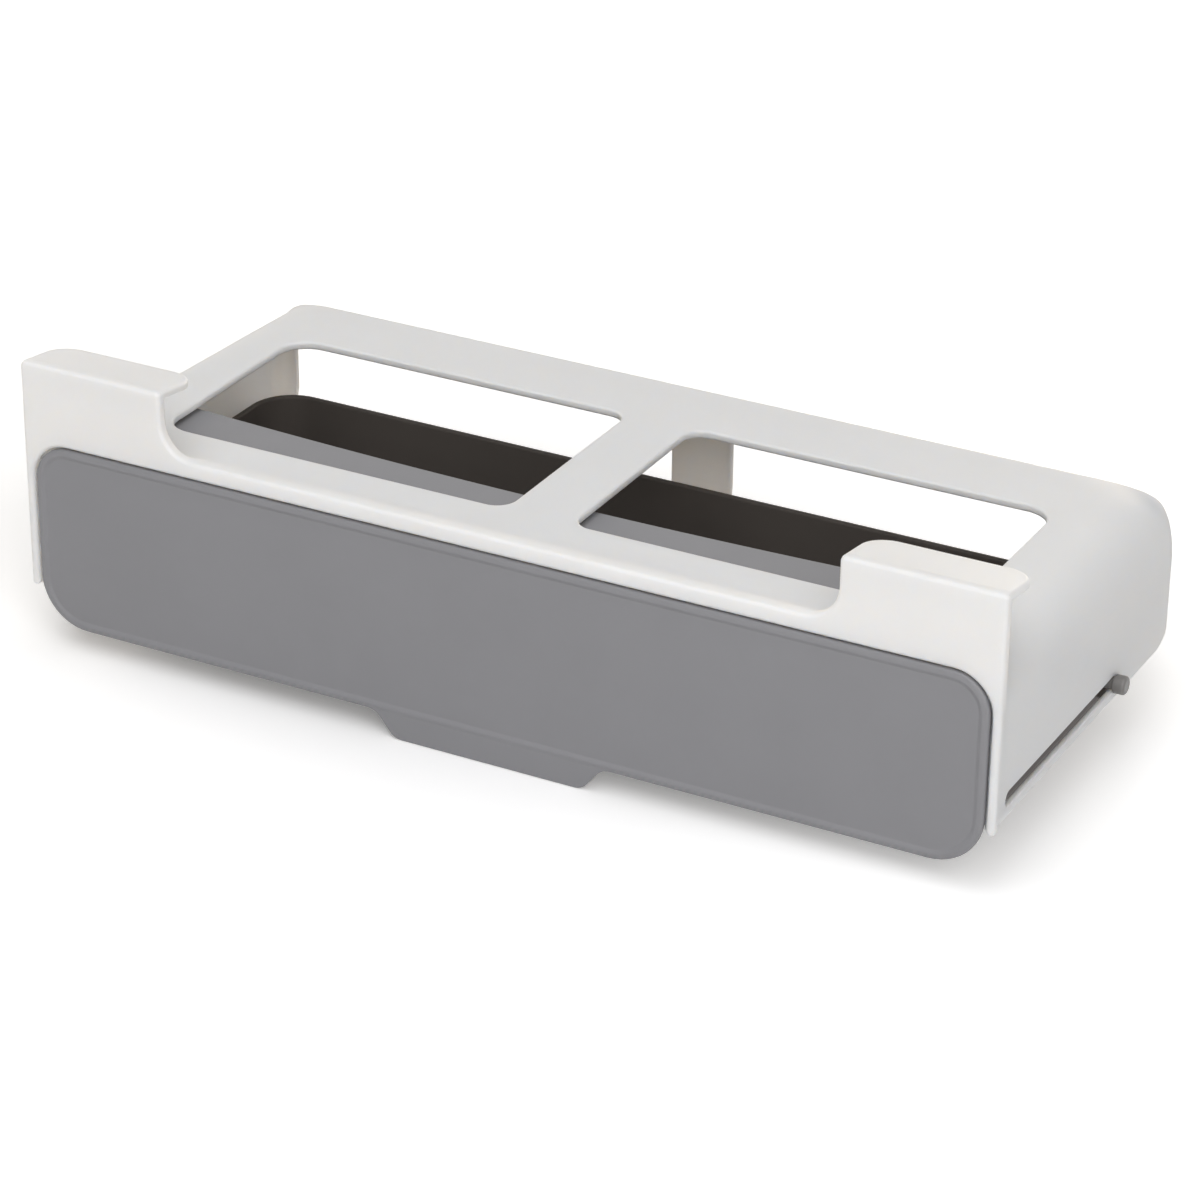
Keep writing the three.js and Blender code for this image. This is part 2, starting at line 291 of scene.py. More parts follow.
def slab(points, place, low, high, low_edge=0.0, high_edge=0.0):
    """A flat piece of the outline's shape between two levels; an edge radius rounds that edge."""
    rings = [ring(points, place, low)]
    if low_edge:
        rings = rounded_edge(points, place, low, low_edge, 1)
    if high_edge:
        return skin(rings + rounded_edge(points, place, high, high_edge, -1)[::-1])
    return skin(rings + [ring(points, place, high)])


def mouth(points, place, low, high, edge):
    """A cutting tool through a wall between two levels, flared so that the hole's edges come out rounded."""
    rings = [ring(drawn_in(points, -edge), place, low - PAST)]
    rings += rounded_edge(points, place, low, -edge, -1)
    rings += rounded_edge(points, place, high, -edge, 1)[::-1]
    rings.append(ring(drawn_in(points, -edge), place, high + PAST))
    return skin(rings)


# %% [markdown]
# Cutting and joining. The frame is a thin cover with openings in it, and a Boolean modifier cuts those from
# a closed block. The cutting tools flare at the faces of the wall, so the edges of the openings come out
# rounded, as a mould leaves them. A Weighted Normal modifier then lets the large faces decide the shading,
# so flat walls stay evenly lit right up to their rounded edges.

# %% Cutting and joining helpers
SHARP_ANGLE = math.radians(50)
JOINT_WELD = 0.002


def as_object(name, data):
    piece = bpy.data.objects.new(name, data)
    bpy.context.scene.collection.objects.link(piece)
    return piece


def cut(piece, tool_data, operation="DIFFERENCE"):
    """Cuts a piece with one closed mesh, keeps what lies in it, or joins the two."""
    tool = as_object("cutting_tool", tool_data)
    cutting = piece.modifiers.new("Cut", "BOOLEAN")
    cutting.operation = operation
    cutting.solver = "EXACT"
    cutting.object = tool
    depsgraph = bpy.context.evaluated_depsgraph_get()
    made = bpy.data.meshes.new_from_object(piece.evaluated_get(depsgraph))
    piece.modifiers.clear()
    piece.data = made
    bpy.data.objects.remove(tool)


def whole(name, parts, finish, body, nodes):
    """Joins the parts of one moulding into a piece that rides a body and stands for its nodes."""
    made = bmesh.new()
    for part in parts:
        data = part.data if isinstance(part, bpy.types.Object) else part
        made.from_mesh(data)
        if isinstance(part, bpy.types.Object):
            bpy.data.objects.remove(part)
    bmesh.ops.remove_doubles(made, verts=made.verts, dist=JOINT_WELD * MM)
    bmesh.ops.dissolve_degenerate(made, edges=made.edges, dist=JOINT_WELD * MM)
    data = bpy.data.meshes.new(name)
    made.to_mesh(data)
    made.free()
    data.shade_smooth()
    data.set_sharp_from_angle(angle=SHARP_ANGLE)
    data.materials.clear()
    data.materials.append(finish)
    piece = as_object(name, data)
    shading = piece.modifiers.new("Flat faces stay flat", "WEIGHTED_NORMAL")
    shading.keep_sharp = True
    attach(piece, body)
    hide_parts(*nodes)
    print(name, "has", len(data.polygons), "faces and rides", body)
    return piece


# %% [markdown]
# Moulded plastic. All the finishes here are injection mouldings: the steel of the mould leaves a very fine
# even grain, the gloss wanders a little from place to place, and the tone is almost but not quite even. One
# helper makes such a finish from three noises at different scales, and each finish then has its own colour,
# gloss and grain. Only the white one lets light through, red a little further than blue, as thin white
# walls do.

# %% Moulded plastic helper
PLASTIC_IOR = 1.47
LIGHT_REACH = 5.0
REACH_BY_COLOUR = (1.0, 0.92, 0.82)
TONE_PER_METRE, TONE_DETAIL = 30.0, 3.0
TONE_STOPS = (0.3, 0.7)
GLOSS_PER_METRE, GLOSS_DETAIL = 90.0, 4.0
GRAIN_DETAIL = 2.0
GRAIN_STRENGTH = 0.35


def moulded_plastic(name, colour, tone_range, roughness, roughness_range, grain, through=0.0, shine=0.5):
    """A plastic whose tone, roughness and grain vary finely; the grain is given as (per metre, height)."""
    finish = bpy.data.materials.new(name)
    finish.use_nodes = True
    tree = finish.node_tree
    shader = tree.nodes["Principled BSDF"]
    shader.inputs["IOR"].default_value = PLASTIC_IOR
    shader.inputs["Specular IOR Level"].default_value = shine
    shader.inputs["Subsurface Weight"].default_value = through
    shader.inputs["Subsurface Radius"].default_value = REACH_BY_COLOUR
    shader.inputs["Subsurface Scale"].default_value = LIGHT_REACH * MM
    place = tree.nodes.new("ShaderNodeTexCoord").outputs["Object"]

    def noise(scale, detail):
        made = tree.nodes.new("ShaderNodeTexNoise")
        made.inputs["Scale"].default_value = scale
        made.inputs["Detail"].default_value = detail
        tree.links.new(place, made.inputs["Vector"])
        return made.outputs["Fac"]

    tone = tree.nodes.new("ShaderNodeValToRGB")
    for stop, share, at in zip(tone.color_ramp.elements, (1 - tone_range, 1 + tone_range), TONE_STOPS):
        stop.position = at
        stop.color = [min(1.0, c * share) for c in colour] + [1.0]
    tree.links.new(noise(TONE_PER_METRE, TONE_DETAIL), tone.inputs["Fac"])
    tree.links.new(tone.outputs["Color"], shader.inputs["Base Color"])

    gloss = tree.nodes.new("ShaderNodeMapRange")
    gloss.inputs["To Min"].default_value = roughness - roughness_range
    gloss.inputs["To Max"].default_value = roughness + roughness_range
    tree.links.new(noise(GLOSS_PER_METRE, GLOSS_DETAIL), gloss.inputs["Value"])
    tree.links.new(gloss.outputs["Result"], shader.inputs["Roughness"])

    grain_per_metre, grain_height = grain
    bumps = tree.nodes.new("ShaderNodeBump")
    bumps.inputs["Strength"].default_value = GRAIN_STRENGTH
    bumps.inputs["Distance"].default_value = grain_height * MM
    tree.links.new(noise(grain_per_metre, GRAIN_DETAIL), bumps.inputs["Height"])
    tree.links.new(bumps.outputs["Normal"], shader.inputs["Normal"])
    return finish


# %% White, grey, tray and pin plastic
white_plastic = moulded_plastic(
    "white_plastic", (0.85, 0.85, 0.845), tone_range=0.012, roughness=0.50, roughness_range=0.05,
    grain=(2400.0, 0.03), through=1.0,
)
grey_plastic = moulded_plastic(
    "grey_plastic", (0.243, 0.243, 0.256), tone_range=0.02, roughness=0.50, roughness_range=0.05,
    grain=(2800.0, 0.04),
)
tray_plastic = moulded_plastic(
    "dark_grey_plastic", (0.107, 0.095, 0.086), tone_range=0.03, roughness=0.46, roughness_range=0.06,
    grain=(2600.0, 0.04), shine=0.15,
)
pin_plastic = moulded_plastic(
    "pin_plastic", (0.19, 0.185, 0.18), tone_range=0.03, roughness=0.38, roughness_range=0.05,
    grain=(3000.0, 0.03),
)
print("finishes", [m.name for m in (white_plastic, grey_plastic, tray_plastic, pin_plastic)])

# %% [markdown]
# The frame's body. On the real rack it is a thin white cover: a top plate that lies against the shelf, side
# walls that roll down from it with a big soft radius, and a rear edge that rolls down to three short posts.
# Two windows keep it light, and a long slot in each side wall guides a pin of the drawer. The slot widens
# towards the inside, as a lead for the pin, so the dark tray can be seen through it.

# %% Frame body sizes
BODY_HALF = 149.0
BODY_WALL = 2.5
BODY_FRONT = 3.4
BODY_REAR = 131.0
WALL_DROP = 44.2
SIDE_RADIUS_FRONT = 11.0
SIDE_RADIUS_REAR = 20.5
REAR_ROLL_RADIUS = 5.5
REAR_CORNER_RADIUS = 8.0
FLAT_CORNER_RADIUS = 16.0
SIDE_STATIONS = 6
ROUND_STEPS = 14
REAR_FOOT_RADIUS = 17.0
WINDOW_INNER = 10.2
WINDOW_OUTER = 122.8
WINDOW_FRONT = 29.0
WINDOW_REAR = 101.5
WINDOW_OUTER_RADIUS = 9.0
WINDOW_INNER_RADIUS = 6.0
POST_HALF = 9.8
RETURN_INNER = 140.4
REAR_BAND = 15.0
OPENING_RADIUS = 1.5
POST_DROP = 36.0
POST_CLEARANCE = 1.0
SLOT_FRONT = 9.5
SLOT_REAR = 86.8
SLOT_RADIUS = 2.2
PIN_Y = 84.5
PIN_Z = -38.8
FRAME_EDGE = 0.7
SLOT_EDGE = 0.4
SLOT_LEAD_DEPTH = 1.1
SLOT_LEAD_SLOPE = 1.4
JUST_UNDER_ONE = 0.999
HAIR = 0.001

# %% Block of the frame body
def body_block(inset, front, bottom):
    """The body's outside, drawn in by an inset: upright walls that roll over to a flat top."""
    half, rear = BODY_HALF - inset, BODY_REAR - inset
    radius_front, radius_rear = SIDE_RADIUS_FRONT - inset, SIDE_RADIUS_REAR - inset
    roll = REAR_ROLL_RADIUS - inset
    wall_corners, flat_corners, drops = [], [], []
    for station in range(SIDE_STATIONS):
        share = station / SIDE_STATIONS
        radius = radius_front + (radius_rear - radius_front) * share
        wall_corners.append((half, front + (rear - front) * share, 0.0))
        flat_corners.append((half - radius, front + (rear - roll - front) * share, 0.0))
        drops.append(radius)
    wall_corners.append((half, rear, REAR_CORNER_RADIUS - inset))
    flat_corners.append((half - radius_rear, rear - roll, FLAT_CORNER_RADIUS - inset))
    for k in range(CORNER_STEPS + 1):
        drops.append(radius_rear + (roll - radius_rear) * eased(k / CORNER_STEPS))
    drops += drops[::-1]
    walls = mirrored(wall_corners)
    flat = mirrored(flat_corners)
    turn_in = FRAME_EDGE if inset == 0 else -FRAME_EDGE
    rings = [ring(drawn_in(walls, turn_in), in_plan, bottom)]
    for gone, left in quarter():
        rings.append(ring(drawn_in(walls, turn_in * left), in_plan, -WALL_DROP + FRAME_EDGE * gone))
    for gone, left in quarter(ROUND_STEPS):
        levels = [-inset - drop * left for drop in drops]
        rings.append([in_plan(*w.lerp(f, gone), level) for w, f, level in zip(walls, flat, levels)])
    return skin(rings)


frame_shell = as_object("frame_shell", body_block(0.0, BODY_FRONT, -WALL_DROP))
cut(frame_shell, body_block(BODY_WALL, BODY_FRONT - PAST, -WALL_DROP - PAST))
print("frame shell has", len(frame_shell.data.polygons), "faces")

# %% Windows, rear openings and middle post
for side in (-1, 1):
    window = outline([
        (side * WINDOW_INNER, WINDOW_FRONT, WINDOW_INNER_RADIUS),
        (side * WINDOW_OUTER, WINDOW_FRONT, WINDOW_OUTER_RADIUS),
        (side * WINDOW_OUTER, WINDOW_REAR, WINDOW_OUTER_RADIUS),
        (side * WINDOW_INNER, WINDOW_REAR, WINDOW_INNER_RADIUS),
    ])
    cut(frame_shell, mouth(window, in_plan, -BODY_WALL, 0.0, FRAME_EDGE))
    inner, outer = sorted((side * POST_HALF, side * RETURN_INNER))
    opening = rectangle(inner, outer, -WALL_DROP - PAST, -REAR_BAND, 0.0, OPENING_RADIUS)
    cut(frame_shell, mouth(opening, in_front_view, BODY_REAR - BODY_WALL, BODY_REAR, FRAME_EDGE))
post_foot = rectangle(-POST_HALF - PAST, POST_HALF + PAST, -WALL_DROP - PAST, -POST_DROP)
post_front, post_rear = BODY_REAR - BODY_WALL - POST_CLEARANCE, BODY_REAR + POST_CLEARANCE
cut(frame_shell, slab(post_foot, in_front_view, post_front, post_rear))

# %% Slots and rear feet
slot_round = SLOT_RADIUS * JUST_UNDER_ONE
slot_low, slot_high = PIN_Z - SLOT_RADIUS, PIN_Z + SLOT_RADIUS
slot_outline = rectangle(SLOT_FRONT, SLOT_REAR, slot_low, slot_high, slot_round, slot_round)
lead_start = BODY_HALF - BODY_WALL + SLOT_LEAD_DEPTH
slot_steps = [(BODY_HALF + PAST, SLOT_EDGE)]
slot_steps += [(BODY_HALF - SLOT_EDGE * gone, SLOT_EDGE * left) for gone, left in quarter()]
slot_steps += [(lead_start, 0.0), (lead_start - BODY_WALL, SLOT_LEAD_SLOPE * BODY_WALL)]
for side in (-1, 1):
    slot_rings = []
    for level, wider in slot_steps:
        slot_rings.append(ring(drawn_in(slot_outline, -wider), in_side_view, side * level))
    cut(frame_shell, skin(slot_rings))
foot_kept = outline([
    (BODY_FRONT - PAST, -WALL_DROP - HAIR, 0.0),
    (BODY_REAR + HAIR, -WALL_DROP - HAIR, REAR_FOOT_RADIUS),
    (BODY_REAR + HAIR, PAST, 0.0),
    (BODY_FRONT - PAST, PAST, 0.0),
])
cut(frame_shell, slab(foot_kept, in_side_view, -BODY_HALF - PAST, BODY_HALF + PAST), "INTERSECT")
whole("frame_moulding", [frame_shell], white_plastic, "frame", ["frame_body"])

# %% [markdown]
# The fascia is the frame's front: a low lip between the two shelf hooks, and a thin leg down each side of
# the drawer. It is drawn as outlines seen from the front. The front layer has the hooks and the drawer's
# cut-out, with a rounded front edge; a smaller layer behind it makes the lip thicker. Each hook ends in a
# flange that droops a little to the rear, so that it grips the shelf.

# %% Fascia and hook sizes
FASCIA_HALF = 150.0
LIP_TOP = 6.0
LIP_END_RADIUS = 22.0
CUT_OUT_HALF = 147.5
CUT_OUT_TOP = 1.0
CUT_OUT_RADIUS = 11.6
LEG_DROP = 44.8
LEG_TIP_RADIUS = 1.2
HOOK_INNER = 103.5
HOOK_TOP = 25.0
HOOK_SEAT = 22.7
HOOK_CORNER_RADIUS = 1.5
HOOK_ROOT_RADIUS = 10.0
HOOK_DROOP = 2.5
FLANGE_FRONT = 1.4
FLANGE_DEPTH = 20.5
FLANGE_RADIUS = 8.0
FLANGE_EDGE = 1.1
FLANGE_SEAT_EDGE = 0.4
REBATE = 2.8
LAYER_OVERLAP = 0.5
FASCIA_DEPTH = 4.4
FASCIA_EDGE = 1.1

# %% Fascia and hooks
def fascia_outline(outer_half, upper_corners, open_half, open_top, open_radius):
    return mirrored([
        (open_half, open_top, open_radius),
        (open_half, -LEG_DROP, LEG_TIP_RADIUS),
        (outer_half, -LEG_DROP, LEG_TIP_RADIUS),
        *upper_corners,
    ])


def drooping(u, v, level):
    fall = HOOK_DROOP * (v - FLANGE_FRONT) / (FLANGE_DEPTH - FLANGE_FRONT)
    return in_plan(u, v, level - fall)


hook_corners = [
    (FASCIA_HALF, HOOK_TOP, HOOK_CORNER_RADIUS),
    (HOOK_INNER, HOOK_TOP, HOOK_CORNER_RADIUS),
    (HOOK_INNER, LIP_TOP, HOOK_ROOT_RADIUS),
]
lip_corners = [(BODY_HALF, LIP_TOP, LIP_END_RADIUS)]
front_layer = fascia_outline(FASCIA_HALF, hook_corners, CUT_OUT_HALF, CUT_OUT_TOP, CUT_OUT_RADIUS)
inner_radius = SIDE_RADIUS_FRONT - BODY_WALL
rear_layer = fascia_outline(BODY_HALF, lip_corners, BODY_HALF - BODY_WALL, -BODY_WALL, inner_radius)
fascia = as_object("fascia_plate", slab(front_layer, in_front_view, 0.0, REBATE, FASCIA_EDGE))
cut(fascia, slab(rear_layer, in_front_view, REBATE - LAYER_OVERLAP, FASCIA_DEPTH), "UNION")
for side in (-1, 1):
    flange_outline = outline([
        (side * HOOK_INNER, FLANGE_FRONT, 0.0),
        (side * FASCIA_HALF, FLANGE_FRONT, 0.0),
        (side * FASCIA_HALF, FLANGE_DEPTH, FLANGE_RADIUS),
        (side * HOOK_INNER, FLANGE_DEPTH, FLANGE_RADIUS),
    ])
    flange = slab(flange_outline, drooping, HOOK_SEAT, HOOK_TOP, FLANGE_SEAT_EDGE, FLANGE_EDGE)
    cut(fascia, flange, "UNION")
whole("fascia_moulding", [fascia], white_plastic, "frame", ["fascia"])

# %% [markdown]
# The tray holds the jars. It is a dark box with soft corners, open on top; its rim dips behind the hood in
# a long S-curve, so that the jars can be reached. Because the rim isn't level, the rings that go round the
# tray get their height point by point: up the outside, over the rounded rim, down the inside and across the
# floor.

# %% Tray sizes and the S-curve
TRAY_HALF = 142.8
TRAY_FRONT = 2.3
TRAY_REAR = 121.0
TRAY_BOTTOM = -52.0
TRAY_WALL = 2.0
TRAY_FRONT_RADIUS = 6.0
TRAY_REAR_RADIUS = 14.0
TRAY_FOOT_RADIUS = 5.0
TRAY_SPACING = 1.5
RIM_Z = -28.0
RIM_EDGE = 0.8
SEAM_Z = -17.5
SEAT_GAP = 0.3
HOOD_TOP = -3.6
SWEEP_START = 51.5
SWEEP_END = 84.0
SWEEP_RADIUS = 18.0
BELOW_TRAY = -60.0

upper_edge = outline([
    (0.0, BELOW_TRAY, 0.0),
    (TRAY_REAR, BELOW_TRAY, 0.0),
    (TRAY_REAR, RIM_Z, 0.0),
    (SWEEP_END, RIM_Z, SWEEP_RADIUS),
    (SWEEP_START, HOOD_TOP, SWEEP_RADIUS),
    (0.0, HOOD_TOP, 0.0),
])
sweep = sorted((p.x, p.y) for p in upper_edge if p.y > RIM_Z - HAIR)
sweep_ends = [round(between(y, sweep), 1) for y in (SWEEP_START, SWEEP_END)]
print("upper edge at the ends of the S-curve", sweep_ends)

# %% Tray
def rim_height(y):
    return min(SEAM_Z - SEAT_GAP, between(y, sweep))


tray_corners = rectangle(-TRAY_HALF, TRAY_HALF, TRAY_FRONT, TRAY_REAR, TRAY_FRONT_RADIUS, TRAY_REAR_RADIUS)
tray_outline = finer(tray_corners, TRAY_SPACING)
tray_rings = rounded_edge(tray_outline, in_plan, TRAY_BOTTOM, TRAY_FOOT_RADIUS, 1)
for depth, drop in rounded_rim(TRAY_WALL, RIM_EDGE):
    drawn = drawn_in(tray_outline, depth)
    tray_rings.append([in_plan(p.x, p.y, rim_height(q.y) - drop) for p, q in zip(drawn, tray_outline)])
inner_outline = drawn_in(tray_outline, TRAY_WALL)
inside_radius = TRAY_FOOT_RADIUS - TRAY_WALL
tray_rings += rounded_edge(inner_outline, in_plan, TRAY_BOTTOM + TRAY_WALL, inside_radius, 1)[::-1]
tray_parts = [skin(tray_rings)]
print("tray rings", len(tray_rings), "of", len(tray_outline), "points")

# %% Bosses for the pins
BOSS_RADIUS = 5.0
BOSS_END = 146.2
BORE_RADIUS = 2.0
BOSS_EDGE = 0.3
TURN_STEPS = 48


def circle(radius):
    angles = [2 * math.pi * k / TURN_STEPS for k in range(TURN_STEPS)]
    return [Vector((PIN_Y + radius * math.cos(a), PIN_Z + radius * math.sin(a))) for a in angles]


def turned(steps, side, capped=True):
    """A turned piece along X, from (radius, distance from the middle) steps, on one side of the rack."""
    return skin([ring(circle(radius), in_side_view, side * level) for radius, level in steps], capped)


boss_root = TRAY_HALF - TRAY_WALL / 2
boss_steps = [
    (BOSS_RADIUS, boss_root),
    (BOSS_RADIUS, BOSS_END - BOSS_EDGE),
    (BOSS_RADIUS - BOSS_EDGE, BOSS_END),
    (BORE_RADIUS, BOSS_END),
    (BORE_RADIUS, boss_root),
    (BOSS_RADIUS, boss_root),
]
tray_parts += [turned(boss_steps, side, capped=False) for side in (-1, 1)]
whole("tray", tray_parts, tray_plastic, "drawer", ["drawer_tray"])

# %% [markdown]
# The drawer's cover is one grey moulding: the front panel with its raised rim and pull tab, and the hood
# behind it that roofs over the front of the tray. The panel is skinned ring by ring, so the rim can be a
# soft bead with its own profile; the pull tab stands a little behind the rim.

# %% Front panel
PANEL_HALF = 146.7
PANEL_TOP = 0.4
PANEL_BOTTOM = -56.0
PANEL_BACK = 2.0
PANEL_TOP_RADIUS = 11.0
PANEL_BOTTOM_RADIUS = 15.0
PANEL_BACK_EDGE = 0.4
FIELD_DEPTH = 0.6
FIELD_INSET = 3.2
BEAD_CREST = 1.7
BEAD_FALL = 0.9
BEAD_STEPS = 8

panel_outline = rectangle(
    -PANEL_HALF, PANEL_HALF, PANEL_BOTTOM, PANEL_TOP, PANEL_BOTTOM_RADIUS, PANEL_TOP_RADIUS,
)
panel_rings = rounded_edge(panel_outline, in_front_view, PANEL_BACK, PANEL_BACK_EDGE, -1)
for gone, left in quarter(BEAD_STEPS):
    panel_rings.append(ring(drawn_in(panel_outline, BEAD_CREST * gone), in_front_view, BEAD_FALL * left))
for k in range(1, BEAD_STEPS + 1):
    share = k / BEAD_STEPS
    drop = FIELD_DEPTH * (0.5 - 0.5 * math.cos(math.pi * share))
    drawn = drawn_in(panel_outline, BEAD_CREST + (FIELD_INSET - BEAD_CREST) * share)
    panel_rings.append(ring(drawn, in_front_view, drop))
panel = skin(panel_rings)
print("panel rings", len(panel_rings), "of", len(panel_outline), "points")

# %% Pull tab
TAB_FRONT = 0.2
TAB_BACK_STEP = 0.1
TAB_BOTTOM = -63.5
TAB_ROOT_HALF = 44.0
TAB_ROOT_RISE = 0.5
TAB_SHOULDER_HALF = 35.5
TAB_FOOT_HALF = 29.5
TAB_RADIUS = 5.0
TAB_EDGE = 0.35

tab_outline = mirrored([
    (TAB_ROOT_HALF, PANEL_BOTTOM + BEAD_CREST, 0.0),
    (TAB_ROOT_HALF, PANEL_BOTTOM + TAB_ROOT_RISE, 0.0),
    (TAB_SHOULDER_HALF, PANEL_BOTTOM, TAB_RADIUS),
    (TAB_FOOT_HALF, TAB_BOTTOM, TAB_RADIUS),
])
tab = slab(tab_outline, in_front_view, TAB_FRONT, PANEL_BACK - TAB_BACK_STEP, TAB_EDGE, TAB_EDGE)
print("tab outline has", len(tab_outline), "points")

# %% [markdown]
# The hood is a thin arch: flat on top, with soft shoulders that become the drawer's cheeks. Its rear edge
# bows forward in the middle and runs down the cheeks along the same S-curve as the tray. So each ring here
# is a slice of the wall from front to back and round the rear edge, and the slices follow one another from
# cheek to cheek.

# %% Hood and cheeks
HOOD_FRONT = 1.0
HOOD_THICKNESS = 1.8
HOOD_EDGE = 0.8
HOOD_DEPTH = 46.0
HOOD_BOW = 6.9
BOW_HALF = 147.8
BOW_BLEND = 3.0
SHOULDER_RADIUS = 13.0
SHOULDER_STEPS = 24
TOP_STEPS = 72

sweep_back = sorted((z, y) for y, z in sweep)
shoulder_x = TRAY_HALF - SHOULDER_RADIUS
shoulder_z = HOOD_TOP - SHOULDER_RADIUS
right_half = []
for k in range(TOP_STEPS // 2):
    right_half.append((shoulder_x * 2 * k / TOP_STEPS, HOOD_TOP, 0.0, 1.0))
for k in range(SHOULDER_STEPS + 1):
    angle = math.pi / 2 * k / SHOULDER_STEPS
    across, up = math.sin(angle), math.cos(angle)
    right_half.append((shoulder_x + SHOULDER_RADIUS * across, shoulder_z + SHOULDER_RADIUS * up, across, up))
right_half.append((TRAY_HALF, SEAM_Z, 1.0, 0.0))
arch = [(-x, z, -across, up) for x, z, across, up in right_half[:0:-1]] + right_half


def hood_end(x, z):
    """How far back the hood reaches at a point of its arch: the bow on top, the S-curve on the cheeks."""
    bowed = HOOD_DEPTH + HOOD_BOW * (x / BOW_HALF) ** 2
    share = min(1.0, (HOOD_TOP - z) / BOW_BLEND)
    return bowed + (max(bowed, between(z, sweep_back)) - bowed) * eased(share)


hood_rings = []
for x, z, across, up in arch:
    end = hood_end(x, z)
    rim = [(end - drop, depth) for depth, drop in rounded_rim(HOOD_THICKNESS, HOOD_EDGE)]
    slice_points = [(HOOD_FRONT, 0.0), *rim, (HOOD_FRONT, HOOD_THICKNESS)]
    hood_rings.append([in_plan(x - across * depth, y, z - up * depth) for y, depth in slice_points])
hood = skin(hood_rings)
rear_edge = [round(hood_end(0, HOOD_TOP), 1), round(hood_end(TRAY_HALF, SEAM_Z), 1)]
print("hood slices", len(hood_rings), "rear edge at the middle and the cheek", rear_edge)

# %% Locating ribs and the whole cover
RIB_FRONT = 14.3
RIB_REAR = 48.3
RIB_INNER = 138.7
RIB_OUTER = 140.5
RIB_BELOW_SEAM = 5.0
RIB_ABOVE_SEAM = 6.0
RIB_FOOT_RADIUS = 1.0
RIB_TOP_RADIUS = 0.4
RIB_EDGE = 0.3

rib_low, rib_high = SEAM_Z - RIB_BELOW_SEAM, SEAM_Z + RIB_ABOVE_SEAM
rib_outline = rectangle(RIB_FRONT, RIB_REAR, rib_low, rib_high, RIB_FOOT_RADIUS, RIB_TOP_RADIUS)
cover_parts = [panel, tab, hood]
for side in (-1, 1):
    ends = sorted((side * RIB_INNER, side * RIB_OUTER))
    cover_parts.append(slab(rib_outline, in_side_view, *ends, RIB_EDGE, RIB_EDGE))
cover = whole("drawer_cover", cover_parts, grey_plastic, "drawer", ["drawer_front"])

# %% [markdown]
# The pins. Each is a small headed pin pushed out through the tray's wall and boss: its neck slides in the
# frame's slot and its knob stands outside the wall, with a rounded end. Rings of one circle, set along X
# with changing radius, make it as a lathe would.

# %% Pivot pins
NECK_RADIUS = 1.9
KNOB_RADIUS = 2.7
KNOB_INNER = 149.3
KNOB_END = 152.9
KNOB_END_RADIUS = 0.9
HEAD_RADIUS = 4.5
HEAD_INNER = 139.0
HEAD_OUTER = 140.5
PIN_EDGE = 0.25

pin_steps = [
    (HEAD_RADIUS - PIN_EDGE, HEAD_INNER),
    (HEAD_RADIUS, HEAD_INNER + PIN_EDGE),
    (HEAD_RADIUS, HEAD_OUTER - PIN_EDGE),
    (HEAD_RADIUS - PIN_EDGE, HEAD_OUTER),
    (NECK_RADIUS, HEAD_OUTER),
    (NECK_RADIUS, KNOB_INNER),
    (KNOB_RADIUS - PIN_EDGE, KNOB_INNER),
    (KNOB_RADIUS, KNOB_INNER + PIN_EDGE),
]
for gone, left in quarter():
    pin_steps.append((KNOB_RADIUS - KNOB_END_RADIUS * gone, KNOB_END - KNOB_END_RADIUS * left))
for side, label in ((-1, "left"), (1, "right")):
    node = "pivot_pin_" + label
    whole(label + "_pin", [turned(pin_steps, side)], pin_plastic, "pins", [node])

# %% [markdown]
# The floor is a plain white sheet just under the lowest point of the rack, the edge of its pull tab. Close
# to the rack its tone comes mostly from the light that falls on it, so the real shadow under the rack stays,
# and its glow for the lens is weakest there: painted shade that darkens the floor round the rack. Further
# out it glows for the lens, more and more, so that open floor is pure white and runs into the backdrop
# without an edge. The distance is flattened along X, so the painted shade is long that way, as the rack and
# its shadow are.

# %% Floor finish
SHEET_COLOUR = (0.90, 0.90, 0.90, 1.0)
# painted shade: the lens glow is weakest near the rack and grows with distance, darkening the floor round
# the rack on top of its real shadow
GLOW_NEAR, GLOW_FAR = 0.19, 1.0
GLOW_FROM, GLOW_TO = 0.06, 0.324
PAINTED_SHADE_CENTRE = (0.03, 0.0, 0.0)
PAINTED_SHADE_STRETCH = (0.6, 1.0, 0.0)

sheet_finish = bpy.data.materials.new("white_sheet")
sheet_finish.use_nodes = True
sheet = sheet_finish.node_tree
sheet.nodes.clear()
lit = sheet.nodes.new("ShaderNodeBsdfDiffuse")
lit.inputs["Color"].default_value = SHEET_COLOUR
spot = sheet.nodes.new("ShaderNodeTexCoord")
flattened = sheet.nodes.new("ShaderNodeMapping")
flattened.inputs["Location"].default_value = PAINTED_SHADE_CENTRE
flattened.inputs["Scale"].default_value = PAINTED_SHADE_STRETCH
away = sheet.nodes.new("ShaderNodeVectorMath")
away.operation = "LENGTH"
growing = sheet.nodes.new("ShaderNodeMapRange")
growing.inputs["From Min"].default_value = GLOW_FROM
growing.inputs["From Max"].default_value = GLOW_TO
growing.inputs["To Min"].default_value = GLOW_NEAR
growing.inputs["To Max"].default_value = GLOW_FAR
glow = sheet.nodes.new("ShaderNodeEmission")
glow.inputs["Color"].default_value = PURE_WHITE
both = sheet.nodes.new("ShaderNodeAddShader")
pick = sheet.nodes.new("ShaderNodeMixShader")
sheet_out = sheet.nodes.new("ShaderNodeOutputMaterial")
sheet.links.new(spot.outputs["Object"], flattened.inputs["Vector"])
sheet.links.new(flattened.outputs["Vector"], away.inputs[0])
sheet.links.new(away.outputs["Value"], growing.inputs["Value"])
sheet.links.new(growing.outputs["Result"], glow.inputs["Strength"])
sheet.links.new(lit.outputs["BSDF"], both.inputs[0])
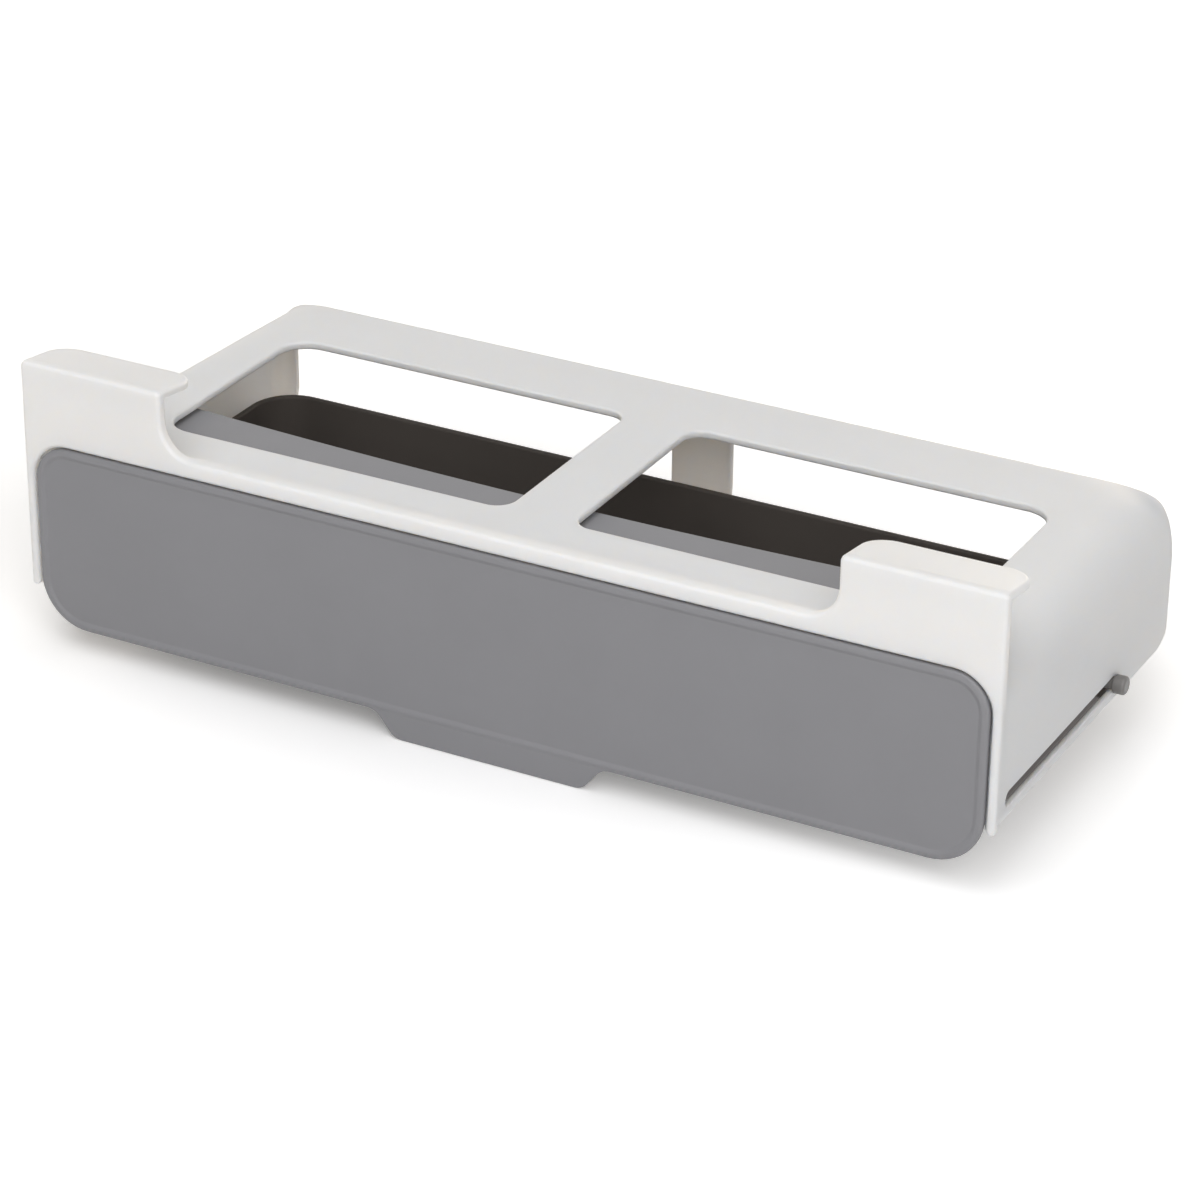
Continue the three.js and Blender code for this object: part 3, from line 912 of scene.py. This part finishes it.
sheet.links.new(glow.outputs["Emission"], both.inputs[1])
sheet.links.new(white_for_lens(sheet), pick.inputs["Fac"])
sheet.links.new(lit.outputs["BSDF"], pick.inputs[1])
sheet.links.new(both.outputs["Shader"], pick.inputs[2])
sheet.links.new(pick.outputs["Shader"], sheet_out.inputs["Surface"])

# %% Floor
FLOOR_GAP = 0.1
FLOOR_HALF = 2500.0
FLOOR_CORNER_RADIUS = 400.0
FLOOR_THICKNESS = 5.0

floor_top = TAB_BOTTOM - FLOOR_GAP
floor_outline = rectangle(
    -FLOOR_HALF, FLOOR_HALF, -FLOOR_HALF, FLOOR_HALF, FLOOR_CORNER_RADIUS, FLOOR_CORNER_RADIUS,
)
floor = as_object("floor", slab(floor_outline, in_plan, floor_top - FLOOR_THICKNESS, floor_top))
floor.data.materials.append(sheet_finish)
print("floor at", floor_top, "mm")

# %% [markdown]
# A real rack hangs under a shelf, so its drawer may drop lower than it stands here. A small node group
# measures the drawer's cover and lowers the floor to its lowest point, so that no pose of the drawer cuts
# through the floor.

# %% Floor under the drawer
lowering = bpy.data.node_groups.new("floor_under_drawer", "GeometryNodeTree")
lowering.interface.new_socket("Geometry", in_out="INPUT", socket_type="NodeSocketGeometry")
lowering.interface.new_socket("Geometry", in_out="OUTPUT", socket_type="NodeSocketGeometry")
given = lowering.nodes.new("NodeGroupInput")
measured = lowering.nodes.new("GeometryNodeObjectInfo")
measured.transform_space = "RELATIVE"
measured.inputs["Object"].default_value = cover
extent = lowering.nodes.new("GeometryNodeBoundBox")
lowest = lowering.nodes.new("ShaderNodeSeparateXYZ")
fall = lowering.nodes.new("ShaderNodeMath")
fall.operation = "SUBTRACT"
fall.inputs[1].default_value = TAB_BOTTOM * MM
shift = lowering.nodes.new("ShaderNodeCombineXYZ")
moved_floor = lowering.nodes.new("GeometryNodeSetPosition")
given_back = lowering.nodes.new("NodeGroupOutput")
lowering.links.new(measured.outputs["Geometry"], extent.inputs["Geometry"])
lowering.links.new(extent.outputs["Min"], lowest.inputs["Vector"])
lowering.links.new(lowest.outputs["Z"], fall.inputs[0])
lowering.links.new(fall.outputs["Value"], shift.inputs["Z"])
lowering.links.new(given.outputs["Geometry"], moved_floor.inputs["Geometry"])
lowering.links.new(shift.outputs["Vector"], moved_floor.inputs["Offset"])
lowering.links.new(moved_floor.outputs["Geometry"], given_back.inputs["Geometry"])
floor.modifiers.new("Under the drawer", "NODES").node_group = lowering
bpy.context.view_layer.update()
posed_floor = floor.evaluated_get(bpy.context.evaluated_depsgraph_get())
floor_level = max(v.co.z for v in posed_floor.data.vertices) / MM
print("floor top at", round(floor_level, 2), "mm with the drawer closed")
